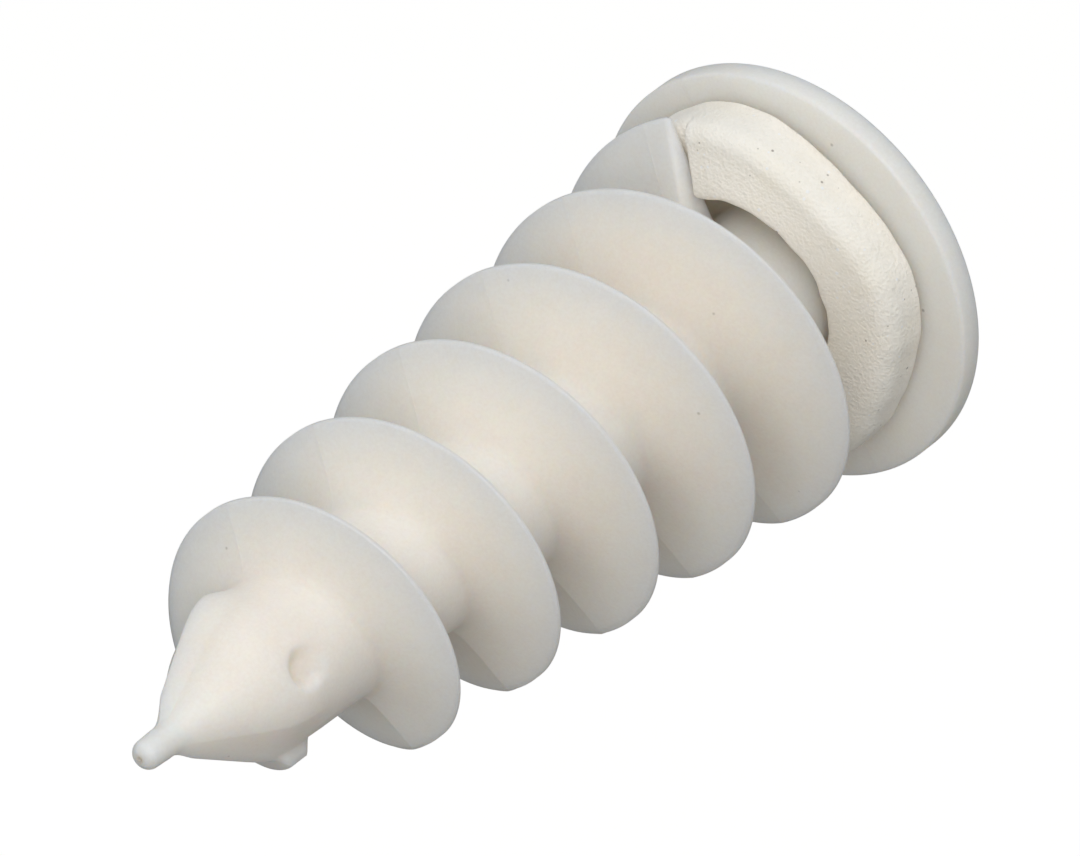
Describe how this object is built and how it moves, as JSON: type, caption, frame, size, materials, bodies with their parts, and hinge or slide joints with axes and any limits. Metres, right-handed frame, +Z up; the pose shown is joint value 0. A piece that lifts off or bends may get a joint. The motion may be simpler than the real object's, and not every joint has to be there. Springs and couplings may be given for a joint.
{
  "type": "spiral wall anchor",
  "caption": "Screw-in plastic wall anchor: pointed core, deep coarse thread, round flange with a drive socket, and a loose foam sealing ring on the neck.",
  "frame": {"origin": "middle of the flange's underside, which lies in the plane of the wall face", "axes": "+Y along the anchor's axis, from the wall face into the wall towards the point; +Z up in a vertical wall; the flange's outer face looks along -Y"},
  "size_m": [0.0242, 0.055, 0.0242],
  "materials": {
    "natural_nylon": "undyed moulded nylon, slightly translucent, satin",
    "closed_cell_foam": "soft white closed-cell foam, matt"
  },
  "bodies": {
    "anchor": {"anchor_body": "natural_nylon"},
    "ring": {"sealing_ring": "closed_cell_foam"}
  },
  "joints": [
    {"name": "ring_slide", "type": "slide", "parent": "anchor", "child": "ring", "axis": [0, 1, 0], "range_m": [-0.00025, 0.00025]}
  ]
}
